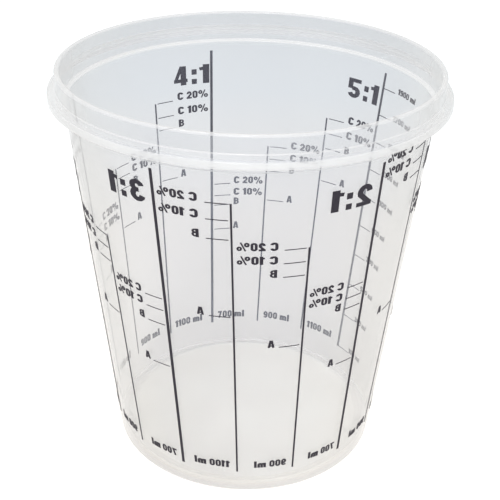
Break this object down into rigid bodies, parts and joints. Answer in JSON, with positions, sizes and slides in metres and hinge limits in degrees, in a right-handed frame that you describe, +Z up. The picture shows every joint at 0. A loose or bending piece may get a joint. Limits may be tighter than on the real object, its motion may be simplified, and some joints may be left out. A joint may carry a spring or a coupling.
{
  "type": "resin mixing cup",
  "caption": "Tall tapered cup of thin cloudy plastic with a flanged rim for a lid, printed all round with ratio columns and a millilitre scale for mixing resin and hardener.",
  "frame": {"origin": "centre of the foot, on the surface that the cup stands on", "axes": "Z runs up the cup's axis; +X lies 2.2 degrees from the middle of the first ratio column, and -Y is the side turned to the viewer of the picture"},
  "size_m": [0.1616, 0.1616, 0.17],
  "materials": {
    "polypropylene": "natural, cloudy and see-through, smooth with a soft gloss",
    "ink": "matte screen print"
  },
  "bodies": {
    "root": {"cup": "polypropylene", "marks_1_1_700": "ink", "marks_1_1_900": "ink", "marks_2_1_700": "ink", "marks_2_1_900": "ink", "marks_2_1_1100": "ink", "marks_3_1_700": "ink", "marks_3_1_900": "ink", "marks_3_1_1100": "ink", "marks_4_1_700": "ink", "marks_4_1_900": "ink", "marks_4_1_1100": "ink", "marks_5_1_700": "ink", "marks_5_1_900": "ink", "marks_5_1_1100": "ink", "marks_ml": "ink"}
  },
  "joints": []
}
